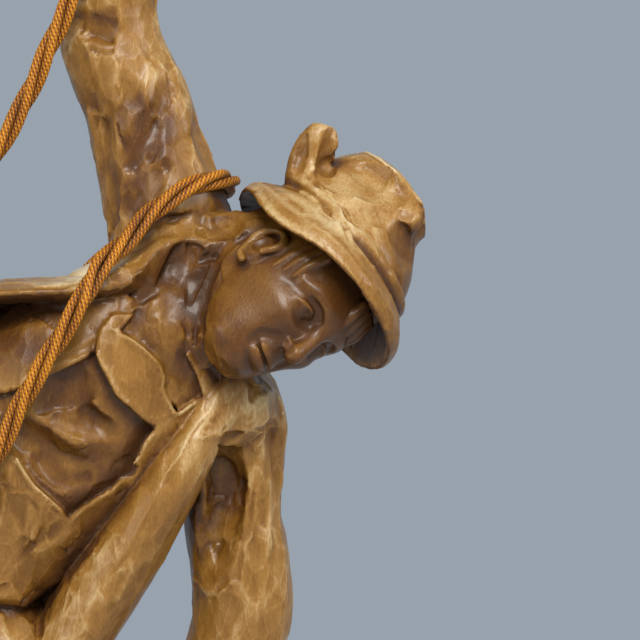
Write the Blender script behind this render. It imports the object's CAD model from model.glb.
import math
import bmesh
import bpy
import numpy as np
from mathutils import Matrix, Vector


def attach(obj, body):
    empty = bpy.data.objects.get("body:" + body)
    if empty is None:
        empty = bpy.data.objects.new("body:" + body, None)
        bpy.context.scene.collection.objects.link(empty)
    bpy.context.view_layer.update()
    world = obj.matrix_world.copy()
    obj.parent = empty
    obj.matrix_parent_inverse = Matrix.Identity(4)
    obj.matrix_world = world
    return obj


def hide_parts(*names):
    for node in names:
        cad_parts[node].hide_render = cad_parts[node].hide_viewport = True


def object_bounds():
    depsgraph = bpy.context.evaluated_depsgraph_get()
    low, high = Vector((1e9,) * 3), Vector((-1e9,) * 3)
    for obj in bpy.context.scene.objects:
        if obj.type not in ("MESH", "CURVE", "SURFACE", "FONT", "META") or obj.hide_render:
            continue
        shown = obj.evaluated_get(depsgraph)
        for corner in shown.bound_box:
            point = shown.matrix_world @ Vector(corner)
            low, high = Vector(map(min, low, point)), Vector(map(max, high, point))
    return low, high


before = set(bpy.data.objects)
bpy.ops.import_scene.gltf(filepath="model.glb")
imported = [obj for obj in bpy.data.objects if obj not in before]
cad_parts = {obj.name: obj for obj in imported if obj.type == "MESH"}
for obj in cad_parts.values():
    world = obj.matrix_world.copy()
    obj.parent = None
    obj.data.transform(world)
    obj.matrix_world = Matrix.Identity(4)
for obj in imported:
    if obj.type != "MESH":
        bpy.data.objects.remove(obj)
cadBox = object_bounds()
mm = 0.001  # every length below is in millimetres until a mesh is written


# Puts points and faces, all with the same number of corners, into one smooth mesh object.
def makePiece(name, points, faces):
    mesh = bpy.data.meshes.new(name)
    mesh.vertices.add(len(points))
    mesh.vertices.foreach_set("co", (np.asarray(points) * mm).astype(np.float32).ravel())
    mesh.loops.add(faces.size)
    mesh.polygons.add(len(faces))
    mesh.polygons.foreach_set("loop_start", np.arange(0, faces.size, faces.shape[1]))
    mesh.loops.foreach_set("vertex_index", faces.ravel())
    mesh.polygons.foreach_set("use_smooth", np.ones(len(faces), bool))
    mesh.update(calc_edges=True)
    mesh.validate()
    piece = bpy.data.objects.new(name, mesh)
    bpy.context.scene.collection.objects.link(piece)
    return piece


# Arrows of length one: each row over its own length.
def unit(v):
    v = np.asarray(v, float)
    return v / np.linalg.norm(v, axis=-1, keepdims=True)


# A smooth curve through points of any width: the first three columns are the place, the others ride along.
# Knots lie at the square root of the distance, each stretch is a pyramid of straight mixes of four points,
# and the result is read again at even spacing along its length.
def smoothLine(points, spacing):
    p = np.asarray(points, float)
    q = np.vstack((2 * p[0] - p[1], p, 2 * p[-1] - p[-2]))
    q[[0, -1], 3:] = p[[0, -1], 3:]
    gaps = np.sqrt(np.linalg.norm(np.diff(q[:, :3], axis=0), axis=1))
    knots = np.concatenate(([0], np.cumsum(gaps)))
    k = [knots[i:len(q) - 3 + i, None, None] for i in range(4)]
    c = [q[i:len(q) - 3 + i, None, :] for i in range(4)]
    t = k[1] + (k[2] - k[1]) * np.linspace(0, 1, 40, endpoint=False)[None, :, None]
    a = [((k[i + 1] - t) * c[i] + (t - k[i]) * c[i + 1]) / (k[i + 1] - k[i]) for i in range(3)]
    b = [((k[i + 2] - t) * a[i] + (t - k[i]) * a[i + 1]) / (k[i + 2] - k[i]) for i in range(2)]
    fine = ((k[2] - t) * b[0] + (t - k[1]) * b[1]) / (k[2] - k[1])
    fine = np.vstack((fine.reshape(-1, p.shape[1]), p[-1:]))
    along = np.concatenate(([0], np.cumsum(np.linalg.norm(np.diff(fine[:, :3], axis=0), axis=1))))
    places = np.linspace(0, along[-1], max(2, round(along[-1] / spacing) + 1))
    return np.stack([np.interp(places, along, column) for column in fine.T], axis=1)


# Camera: level, square to the front, framed on the hat, the chest and the rope as in the photograph.
view = {"across": 96, "up": 258, "width": 192, "distance": 1200, "sensor": 36, "farthest": 30}


def placeCamera():
    lens = bpy.data.cameras.new("camera")
    lens.sensor_width = view["sensor"]
    lens.lens = view["sensor"] * view["distance"] / view["width"]
    lens.clip_end = view["farthest"]
    camera = bpy.data.objects.new("camera", lens)
    camera.location = (view["across"] * mm, -view["distance"] * mm, view["up"] * mm)
    camera.rotation_euler = (math.pi / 2, 0, 0)
    bpy.context.scene.collection.objects.link(camera)
    bpy.context.scene.camera = camera
    bpy.context.scene.view_settings.view_transform = "Standard"


# Studio: a pale table, a cool pale room and three large soft lamps.
studio = {
    "room": (0.315, 0.363, 0.42), "strength": 1.0, "floor": (0.62, 0.63, 0.63), "floorHalf": 700,
    "aim": (0.03, 0.0, 0.24),
    "lamps": [  # place, size in metres, watts, colour
        ((0.10, -1.05, 1.00), 0.55, 18, (1.0, 0.97, 0.92)),
        ((-1.10, -0.95, 0.55), 0.60, 5, (1.0, 0.97, 0.93)),
        ((1.25, -0.55, 0.70), 0.50, 8, (1.0, 0.98, 0.96)),
    ],
}


def lightStudio():
    world = bpy.data.worlds.new("room")
    bpy.context.scene.world = world
    world.use_nodes = True
    backdrop = world.node_tree.nodes["Background"]
    backdrop.inputs["Color"].default_value = (*studio["room"], 1)
    backdrop.inputs["Strength"].default_value = studio["strength"]
    for number, (place, size, watts, colour) in enumerate(studio["lamps"]):
        lamp = bpy.data.lights.new(f"lamp{number}", "AREA")
        lamp.shape = "DISK"
        lamp.size = size
        lamp.energy = watts
        lamp.color = colour
        holder = bpy.data.objects.new(f"lamp{number}", lamp)
        away = unit(np.array(place) - studio["aim"])
        holder.location = place
        holder.rotation_euler = (math.acos(away[2]), 0, math.atan2(away[1], away[0]) + math.pi / 2)
        holder.visible_camera = False
        bpy.context.scene.collection.objects.link(holder)
    corners = np.array([(-1, -1, 0), (1, -1, 0), (1, 1, 0), (-1, 1, 0)]) * studio["floorHalf"]
    floor = makePiece("floor", corners, np.array([[0, 1, 2, 3]]))
    paint = Finish("paleFloor")
    paint.shade({"Base Color": (*studio["floor"], 1), "Roughness": 0.8})
    floor.data.materials.append(paint.material)
    print("studio lit,", len(studio["lamps"]), "lamps")


# A socket that can be reckoned with: sums and products on it add Math nodes.
class Wire:
    def __init__(self, finish, socket):
        self.finish = finish
        self.socket = socket

    def reckon(self, operation, *values, clamp=False):
        sockets = dict(enumerate(values))
        return self.finish.node("ShaderNodeMath", {"operation": operation, "use_clamp": clamp}, sockets)

    def __add__(self, other):
        return self.reckon("ADD", self, other)

    def __sub__(self, other):
        return self.reckon("SUBTRACT", self, other)

    def __rsub__(self, other):
        return self.reckon("SUBTRACT", other, self)

    def __mul__(self, other):
        return self.reckon("MULTIPLY", self, other)

    # The same value, kept between 0 and 1.
    def held(self):
        return self.reckon("ADD", self, 0.0, clamp=True)

    __radd__ = __add__
    __rmul__ = __mul__


# A material whose nodes are made by one method: kind, settings, then the values or links of its sockets.
class Finish:
    def __init__(self, name):
        self.material = bpy.data.materials.new(name)
        self.material.use_nodes = True
        self.tree = self.material.node_tree
        self.tree.nodes.clear()

    def node(self, kind, settings=None, sockets=None, out=0):
        made = self.tree.nodes.new(kind)
        for key, value in (settings or {}).items():
            if key == "stops":
                ramp = made.color_ramp.elements
                while len(ramp) < len(value):
                    ramp.new(0.5)
                for element, (place, colour) in zip(ramp, value):
                    element.position = place
                    element.color = (*colour, 1)
            else:
                setattr(made, key, value)
        for key, value in (sockets or {}).items():
            if isinstance(value, Wire):
                self.tree.links.new(value.socket, made.inputs[key])
            else:
                made.inputs[key].default_value = value
        return Wire(self, made.outputs[out]) if made.outputs else made

    def attribute(self, name):
        return self.node("ShaderNodeAttribute", {"attribute_name": name}, out=2)

    def place(self, stretch=(1, 1, 1), turn=(0, 0, 0)):
        where = self.node("ShaderNodeTexCoord", out=3)
        return self.node("ShaderNodeMapping", sockets={"Vector": where, "Scale": stretch, "Rotation": turn})

    def noise(self, vector, scale, detail=3.0, roughness=0.55):
        values = {"Vector": vector, "Scale": scale, "Detail": detail, "Roughness": roughness}
        return self.node("ShaderNodeTexNoise", sockets=values)

    def cells(self, vector, scale, feature):
        return self.node("ShaderNodeTexVoronoi", {"feature": feature}, {"Vector": vector, "Scale": scale})

    def shade(self, sockets):
        shader = self.node("ShaderNodeBsdfPrincipled", sockets=sockets)
        self.node("ShaderNodeOutputMaterial", sockets={"Surface": shader})


# Rope: three laid strands, each a braid of its own, along the route that its solid follows.
rope = {
    "diameter": 6.1, "strand": 1.42, "helix": 1.64, "turn": 54, "spacing": 0.95, "sides": 14,
    "ply": 0.13, "plyTurn": 5.0, "loosened": (0.16, 0.63, 22),  # share, place along the rope, reach
    "exit": (0.0474, -0.0052, 0.4185),  # in metres, where it leaves the raised fist
    "route": [
        (50.2, -5, 428), (46.8, -5.2, 414), (44.4, -6.5, 403), (41, -12.5, 395.5), (37.5, -15.5, 386),
        (27, -14.5, 364), (16.5, -12.5, 341), (7.7, -10.5, 322), (0, -10, 308.5), (-17, -10, 283),
        (-36, -11, 262), (-53, -10, 243), (-65.5, -3, 224), (-70.5, 7, 204), (-70.5, 18, 185),
        (-64, 29, 167), (-55, 36.5, 153), (-42, 33.5, 144), (-30, 24, 140), (-22, 9, 138), (-20, -8, 143),
        (-20.5, -17, 154), (-18, -21.5, 170), (-11, -25.5, 192), (-0.3, -30, 215.4), (6, -31.5, 227.7),
        (10.1, -32.5, 236.1), (19.3, -34.5, 251.4), (26.6, -35, 263.7), (31, -32, 272.4), (39.5, -24, 282),
        (48.4, -18.5, 291.5), (59.5, -12.6, 298.4), (66.8, -4, 300), (69, 6, 299), (62.6, 17.6, 295),
        (50, 22.4, 288), (35, 24, 280), (25, 25, 272.8), (15, 32, 262), (10.5, 36.5, 248), (12, 38.5, 230),
        (17, 39.5, 210), (22.5, 41.5, 190), (26, 42, 168), (27.2, 39, 145), (27.2, 34.8, 128),
        (27, 31.5, 115), (26, 30, 102), (24, 30, 88),
    ],
    "knot": {"wind": 3.85, "cord": 1.55, "turns": 2.6, "climb": 2.9, "inset": 1.6},
}


# Directions square to a line, carried along it so that they turn as little as they can.
def carriedSides(line):
    ahead = unit(np.gradient(line, axis=0))
    sides = np.empty_like(line)
    sides[0] = unit(np.cross(ahead[0], (0, 1, 0)))
    for i in range(1, len(line)):
        last = sides[i - 1]
        sides[i] = unit(last - ahead[i] * (last @ ahead[i]))
    return ahead, sides, np.cross(ahead, sides)


# A closed tube round a line: ring i, side j lies at line[i] + radius[i, j] * (cos, sin) in the ring's plane.
# Each end is closed by a row of quads across its last ring.
def tube(line, radius, outward=None):
    ahead, u, v = carriedSides(line)
    if outward is not None:
        u = unit(outward - ahead * np.sum(outward * ahead, axis=1, keepdims=True))
        v = np.cross(ahead, u)
    sides = radius.shape[1]
    angle = np.linspace(0, 2 * math.pi, sides, endpoint=False)
    ring = np.cos(angle)[None, :, None] * u[:, None] + np.sin(angle)[None, :, None] * v[:, None]
    points = (line[:, None] + ring * radius[:, :, None]).reshape(-1, 3)
    i = np.arange(len(line) - 1)[:, None] * sides
    j = np.arange(sides)[None, :]
    k = (j + 1) % sides
    faces = np.stack((i + j, i + k, i + sides + k, i + sides + j), axis=-1).reshape(-1, 4)
    c = np.arange(sides // 2 - 1)
    lid = np.stack((c, sides - 1 - c, sides - 2 - c, c + 1), axis=1)
    faces = np.vstack((lid, faces, lid[:, ::-1] + (len(line) - 1) * sides))
    turns = np.broadcast_to(j / sides, (len(line), sides)).ravel()
    return points, faces, turns


# Rounds the two ends of a strand: the radius follows a quarter circle over its own length.
def roundedEnds(along, radius):
    ends = np.clip(np.minimum(along, along[-1] - along) / radius, 0.02, 1)
    return radius * np.sqrt(1 - (1 - ends) ** 2)


# A braided strand's radius: |sin| of two slants that cross round it swell it, and its ends are rounded.
def braided(along, around, radius):
    ply = 2 * math.pi * along[:, None] / rope["plyTurn"]
    relief = np.abs(np.sin(2 * around + ply)) + np.abs(np.sin(2 * around - ply))
    return roundedEnds(along, radius)[:, None] * (1 + rope["ply"] * (relief - 1.2) / 1.4)


# A strand's middle is the rope's line + helix * (cos, sin) of a turn that grows along it, a third apart from the
# next strand's. A knot is one cord wound the same way, further out and tighter, over each end.
def layRope():
    line = smoothLine(rope["route"], rope["spacing"])
    along = np.linspace(0, 1, len(line)) * np.linalg.norm(np.diff(line, axis=0), axis=1).sum()
    _, u, v = carriedSides(line)
    share, place, reach = rope["loosened"]
    loose = 1 + share * np.exp(-((along - along[-1] * place) / reach) ** 2)
    pieces = []
    around = np.linspace(0, 2 * math.pi, rope["sides"], endpoint=False)[None, :]
    for strand in range(3):
        turn = -2 * math.pi * (along / rope["turn"] + strand / 3)
        out = np.cos(turn)[:, None] * u + np.sin(turn)[:, None] * v
        middle = line + out * (rope["helix"] * loose)[:, None]
        points, faces, turns = tube(middle, braided(along, around, rope["strand"]), out)
        lengths = np.repeat(along, rope["sides"]) + 300 * strand  # each strand's pattern starts elsewhere
        pieces.append((points, faces, turns, lengths))
    knot = rope["knot"]
    for end in (0, 1):
        turn = np.linspace(0, 2 * math.pi * knot["turns"], 90)
        start = knot["inset"] + knot["climb"] * turn / (2 * math.pi)
        at = start if end == 0 else along[-1] - start
        centre, one, two = [np.stack([np.interp(at, along, c) for c in row.T], axis=1) for row in (line, u, v)]
        out = np.cos(turn)[:, None] * one + np.sin(turn)[:, None] * two
        wound = centre + out * knot["wind"]
        far = np.concatenate(([0], np.cumsum(np.linalg.norm(np.diff(wound, axis=0), axis=1))))
        points, faces, turns = tube(wound, braided(far, around, knot["cord"]))
        pieces.append((points, faces, turns, np.repeat(far, rope["sides"]) + 900 + 100 * end))
    shift = np.cumsum([0] + [len(p[0]) for p in pieces[:-1]])
    points = np.vstack([p[0] for p in pieces])
    faces = np.vstack([p[1] + s for p, s in zip(pieces, shift)])
    piece = makePiece("laidRope", points, faces)
    around = np.concatenate([p[2] for p in pieces])[faces]  # the strip that closes a ring runs on to 1
    around = np.where((around < 0.01) & (around.max(axis=1, keepdims=True) > 0.5), 1.0, around)
    length = np.concatenate([p[3] for p in pieces])[faces]
    wrap = piece.data.uv_layers.new(name="lay")
    wrap.data.foreach_set("uv", np.stack((around, length), axis=-1).astype(np.float32).ravel())
    piece.data.materials.append(ropeFinish().material)
    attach(piece, "root")
    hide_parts("climbing_rope")
    print("rope laid,", round(along[-1]), "mm,", len(faces), "faces")
    return line


# Golden brown braid: slanted stitches both ways round each strand, dark between them and inside the rope.
ropeColours = {
    "deep": (0.030, 0.009, 0.001), "brown": (0.21, 0.062, 0.003), "gold": (0.68, 0.27, 0.010),
    "stitchesRound": 6, "stitchesPerMm": 0.45, "sheen": (0.95, 0.62, 0.22, 1),
}


def ropeFinish():
    paint = Finish("goldenRope")
    lay = paint.node("ShaderNodeUVMap", {"uv_map": "lay"})
    turn = paint.node("ShaderNodeSeparateXYZ", sockets={"Vector": lay})
    length = Wire(paint, turn.socket.node.outputs["Y"])

    def wave(kind, turns):
        return paint.node("ShaderNodeMath", {"operation": kind}, {0: turns * (2 * math.pi)})

    across, along = turn * ropeColours["stitchesRound"], length * ropeColours["stitchesPerMm"]
    left, right, crown = wave("SINE", across + along), wave("SINE", across - along), wave("COSINE", turn)
    stitch = (left * 0.26 + left * right * 0.26 + 0.5).held()
    fibre = paint.noise(paint.place(), 900, 4, 0.6)
    shade = paint.noise(paint.place(), 60, 2)
    tone = (stitch * 0.70 + fibre * 0.35 + (shade - 0.5) * 0.4 + crown * 0.16 - 0.14).held()
    stops = [(0.08, ropeColours["deep"]), (0.42, ropeColours["brown"]), (0.85, ropeColours["gold"])]
    colour = paint.node("ShaderNodeValToRGB", {"stops": stops}, {"Fac": tone})
    height = stitch + fibre * 0.3
    bump = paint.node("ShaderNodeBump", sockets={"Height": height, "Strength": 0.7, "Distance": 0.0004})
    paint.shade({
        "Base Color": colour, "Roughness": 0.7 - stitch * 0.2, "Specular IOR Level": 0.3, "Normal": bump,
        "Sheen Weight": 0.1, "Sheen Roughness": 0.4, "Sheen Tint": ropeColours["sheen"],
    })
    return paint


# The wood is a block of small cubes that each hold their distance to the carved surface, below zero inside.
class Block:
    sight = (-62, 50)  # where lines of sight from the front begin and end

    def __init__(self, low, high, step):
        self.low = np.array(low, float)
        self.step = step
        self.far = 20  # the distance that stands for empty space
        count = np.ceil((np.array(high, float) - self.low) / step - 1e-3).astype(int) + 1
        self.depth = np.full(count, self.far, np.float32)

    def top(self):
        return self.low + self.step * (np.array(self.depth.shape) - 1)

    # The coordinates of a stretch of cubes, one row along each way.
    def rows(self, where):
        x, y, z = [low + self.step * np.arange(w.start, w.stop) for low, w in zip(self.low, where)]
        return np.float32(x)[:, None, None], np.float32(y)[None, :, None], np.float32(z)[None, None, :]

    # The cubes between two corners, and their three rows of coordinates.
    def part(self, low, high):
        first = np.clip(np.floor((np.asarray(low) - self.low) / self.step + 1e-3).astype(int), 0, self.depth.shape)
        last = np.clip(np.ceil((np.asarray(high) - self.low) / self.step - 1e-3).astype(int) + 1, 0, self.depth.shape)
        where = tuple(slice(a, b) for a, b in zip(first, last))
        return where, *self.rows(where)

    # Doubles the fineness: each new value lies half way between two, from the four around it.
    def refined(self):
        finer = Block(self.low, self.low, self.step / 2)
        values = self.depth
        for axis in range(3):
            a = np.moveaxis(values, axis, 0)
            p = np.concatenate((a[:1], a, a[-1:]))
            new = np.empty((2 * len(a) - 1,) + a.shape[1:], np.float32)
            new[::2] = a
            new[1::2] = (9 * (p[1:-2] + p[2:-1]) - (p[:-3] + p[3:])) / 16
            values = np.moveaxis(new, 0, axis)
        finer.depth = np.ascontiguousarray(values)
        return finer

    # Reads the distance at any points, mixed straight between the eight cubes around each.
    def at(self, points):
        g = (np.asarray(points, np.float32) - self.low.astype(np.float32)) / self.step
        g = np.clip(g, 0, np.array(self.depth.shape) - 1.001)
        i = g.astype(np.int32)
        f = (g - i).astype(np.float32)
        value = np.zeros(len(g), np.float32)
        for corner in range(8):
            c = np.array([corner & 1, corner >> 1 & 1, corner >> 2 & 1])
            weight = np.prod(np.where(c, f, 1 - f), axis=1)
            value += weight * self.depth[tuple((i + c).T)]
        return value

    # The way out of the wood at any points, from differences of the distance.
    def outward(self, points, reach=0.8):
        steps = np.eye(3) * reach
        return unit(np.stack([self.at(points + s) - self.at(points - s) for s in steps], axis=1) + 1e-9)

    # Adds a field to the wood, or cuts it out, with a rounded meeting of a given softness.
    def add(self, where, field, soft=0.0):
        self.depth[where] = smoothLow(self.depth[where], field, soft)

    def cut(self, where, field, soft=0.0):
        self.depth[where] = -smoothLow(-self.depth[where], field, soft)

    # The field of a limb: oval stations (x, y, z, half width along side, half depth) joined by short
    # stretches. A stretch's distance is k0 * (k0 - 1) / k1, where k0 is the length of the place measured
    # in half sizes and k1 its length measured in half sizes squared.
    def limb(self, stations, side=(1, 0, 0), endSide=None, cap=None, spacing=4.5, margin=14):
        stations = np.asarray(stations, float)
        if stations.shape[1] == 4:
            stations = np.hstack((stations, stations[:, 3:4]))
        line = smoothLine(stations, spacing)
        reach = line[:, 3:].max() + margin
        where, *_ = self.part(line[:, :3].min(axis=0) - reach, line[:, :3].max(axis=0) + reach)
        first = np.array([w.start for w in where])
        field = np.full([w.stop - w.start for w in where], self.far, np.float32)
        ends = np.array([side, side if endSide is None else endSide], float)
        for i in range(len(line) - 1):
            a, b = line[i], line[i + 1]
            length = np.linalg.norm(b[:3] - a[:3])
            axis = (b[:3] - a[:3]) / length
            t = (i + 0.5) / (len(line) - 1)
            u = ends[0] * (1 - t) + ends[1] * t
            u = unit(u - axis * (u @ axis))
            v = np.cross(axis, u)
            size = max(a[3:].max(), b[3:].max()) + margin
            here, x, y, z = self.part(np.minimum(a, b)[:3] - size, np.maximum(a, b)[:3] + size)
            x, y, z = x - a[0], y - a[1], z - a[2]
            h = x * axis[0] + y * axis[1] + z * axis[2]
            t = np.clip(h / length, 0, 1)
            h = h - t * length
            p = x * u[0] + y * u[1] + z * u[2]
            q = x * v[0] + y * v[1] + z * v[2]
            wide = a[3] + (b[3] - a[3]) * t
            deep = a[4] + (b[4] - a[4]) * t
            thick = np.minimum(wide, deep) if cap is None else cap
            p, q, h = p / wide, q / deep, h / thick
            k0 = np.sqrt(p * p + q * q + h * h)
            k1 = np.sqrt((p / wide) ** 2 + (q / deep) ** 2 + (h / thick) ** 2) + 1e-6
            local = tuple(slice(w.start - f, w.stop - f) for w, f in zip(here, first))
            field[local] = np.minimum(field[local], k0 * (k0 - 1) / k1)
        return where, field

    # The field of an egg with half sizes along three square directions.
    def egg(self, at, axes, sizes, margin=8):
        reach = max(sizes) + margin
        at = np.asarray(at, float)
        where, x, y, z = self.part(at - reach, at + reach)
        x, y, z = x - at[0], y - at[1], z - at[2]
        p = [(x * a[0] + y * a[1] + z * a[2]) / s for a, s in zip(axes, sizes)]
        k0 = np.sqrt(p[0] ** 2 + p[1] ** 2 + p[2] ** 2)
        k1 = np.sqrt(sum((c / s) ** 2 for c, s in zip(p, sizes))) + 1e-6
        return where, k0 * (k0 - 1) / k1

    # The field of a closed form given by oval rows: (up, middle a, middle b, half a, half b) in the measures of
    # a turned frame. It is how far a place lies outside its level's oval, and beyond the two end levels.
    def loft(self, at, axes, rows, margin=8, swell=None):
        rows = smoothLine(np.array(rows, float), 0.5)
        reach = np.abs(rows).max() + margin
        where, x, y, z = self.part(np.asarray(at) - reach, np.asarray(at) + reach)
        x, y, z = x - at[0], y - at[1], z - at[2]
        a, b, up = [x * v[0] + y * v[1] + z * v[2] for v in axes]
        middleA, middleB, halfA, halfB = [np.interp(up, rows[:, 0], column).astype(np.float32) for column in rows.T[1:]]
        oval = np.sqrt(((a - middleA) / halfA) ** 2 + ((b - middleB) / halfB) ** 2) - 1
        field = oval * np.minimum(halfA, halfB)
        if swell is not None:
            field = field - swell(a, b, up)
        ends = np.maximum(up - rows[-1, 0], rows[0, 0] - up)
        return where, self.evened(np.maximum(field, ends))

    # Makes any smooth field a true distance near its surface by dividing by its own slope.
    def evened(self, field):
        slope = np.gradient(field, self.step)
        return field / np.maximum(np.sqrt(sum(s * s for s in slope)), 0.3)

    # A block on the same grid that covers only the part between two corners, empty or a copy of this one.
    def patch(self, low, high, copy=False):
        where, x, y, z = self.part(low, high)
        made = Block((x.min(), y.min(), z.min()), (x.max(), y.max(), z.max()), self.step)
        if copy:
            made.depth[:] = self.depth[where]
        return made

    # Where a line of sight along +Y through each (x, z) first meets the wood.
    def front(self, x, z):
        begin, end = self.sight
        y = np.arange(begin, end, 0.5)
        spread = np.stack(np.broadcast_arrays(np.asarray(x)[:, None], y[None], np.asarray(z)[:, None]), axis=-1)
        inside = self.at(spread.reshape(-1, 3)).reshape(len(x), len(y)) < 0
        return np.where(inside.any(axis=1), y[inside.argmax(axis=1)], end)

    # The points where a line seen from the front lies on the wood, the way out of the wood there, and a
    # share that fades to nothing at the line's two ends.
    def traced(self, line):
        seen = smoothLine([(x, 0, z) for x, z in line], 1.4)
        seen[:, 1] = self.front(seen[:, 0], seen[:, 2])
        seen = seen[seen[:, 1] < self.sight[1] - 1]
        seen = seen[np.abs(seen[:, 1] - np.median(seen[:, 1])) < 6]
        fade = np.sin(math.pi * np.linspace(0.06, 0.94, len(seen))) ** 0.6
        return seen, self.outward(seen, 2.5), fade[:, None]

    # A round gouge run along a line: its middle stands off the wood so that its end goes in by the depth,
    # and it touches nothing further from the line than the half width of that bite.
    def gouge(self, line, radius, depth, soft=0.35):
        seen, out, fade = self.traced(line)
        reach = math.sqrt(2 * radius * depth) + 0.8
        where, x, y, z = self.part(seen.min(axis=0) - reach - 1, seen.max(axis=0) + reach + 1)
        tool = tubeAway(seen + out * (radius - depth * fade), x, y, z) - radius
        self.cut(where, np.maximum(tool, tubeAway(seen, x, y, z) - reach), soft)

    # A rounded bar laid along a line, standing over the wood by the height.
    def ridge(self, line, radius, height, soft=1.2):
        seen, out, fade = self.traced(line)
        reach = radius + height + 2
        where, x, y, z = self.part(seen.min(axis=0) - reach, seen.max(axis=0) + reach)
        self.add(where, tubeAway(seen - out * (radius - height * fade), x, y, z) - radius, soft)


# Distance in space to a line of points: the nearest of its straight stretches.
def tubeAway(line, x, y, z):
    best = np.full(np.broadcast(x, y, z).shape, 1e9, np.float32)
    for a, b in zip(line[:-1], line[1:]):
        e = b - a
        t = np.clip(((x - a[0]) * e[0] + (y - a[1]) * e[1] + (z - a[2]) * e[2]) / max(e @ e, 1e-6), 0, 1)
        away = (x - a[0] - e[0] * t) ** 2 + (y - a[1] - e[1] * t) ** 2 + (z - a[2] - e[2] * t) ** 2
        best = np.minimum(best, away)
    return np.sqrt(best)


# The lower of two fields, with their meeting filled by a curve of the given softness.
def smoothLow(a, b, soft):
    if soft <= 0:
        return np.minimum(a, b)
    h = np.clip(0.5 + 0.5 * (a - b) / soft, 0, 1)
    return a + (b - a) * h - soft * h * (1 - h)


# 0 at low, 1 at high and t * t * (3 - 2 * t) between them, whichever is the larger.
def ramp(low, high, value):
    t = np.clip((value - low) / (high - low), 0, 1)
    return t * t * (3 - 2 * t)


# Signed distance in a plane to a closed outline: the nearest edge, below zero where a ray crosses oddly.
def outline(points, x, z):
    p = np.asarray(points, float)
    q = np.roll(p, -1, axis=0)
    best = np.full(np.broadcast(x, z).shape, 1e9, np.float32)
    inside = np.zeros(best.shape, bool)
    for (ax, az), (bx, bz) in zip(p, q):
        ex, ez = bx - ax, bz - az
        t = np.clip(((x - ax) * ex + (z - az) * ez) / (ex * ex + ez * ez), 0, 1)
        best = np.minimum(best, (x - ax - ex * t) ** 2 + (z - az - ez * t) ** 2)
        crosses = (az > z) != (bz > z)
        inside ^= crosses & (x < ax + (z - az) * ex / (ez if ez else 1e-9))
    return np.where(inside, -1, 1) * np.sqrt(best)


# Turned frames of the head and the hat: across to the near ear, out of the face, and up.
headUp, faceOut = unit((0.888, 0.151, 0.434)), unit((0.394, -0.735, -0.552))
nearEar = unit(np.cross(faceOut, headUp))
hatUp = unit((0.76, 0.25, 0.6))
hatNear = unit(np.cross(faceOut, hatUp))
hatFront = np.cross(hatUp, hatNear)
headSide = (0.1, 0.2, 1)  # the side given to round limbs on the head, along which none of them runs

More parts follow.
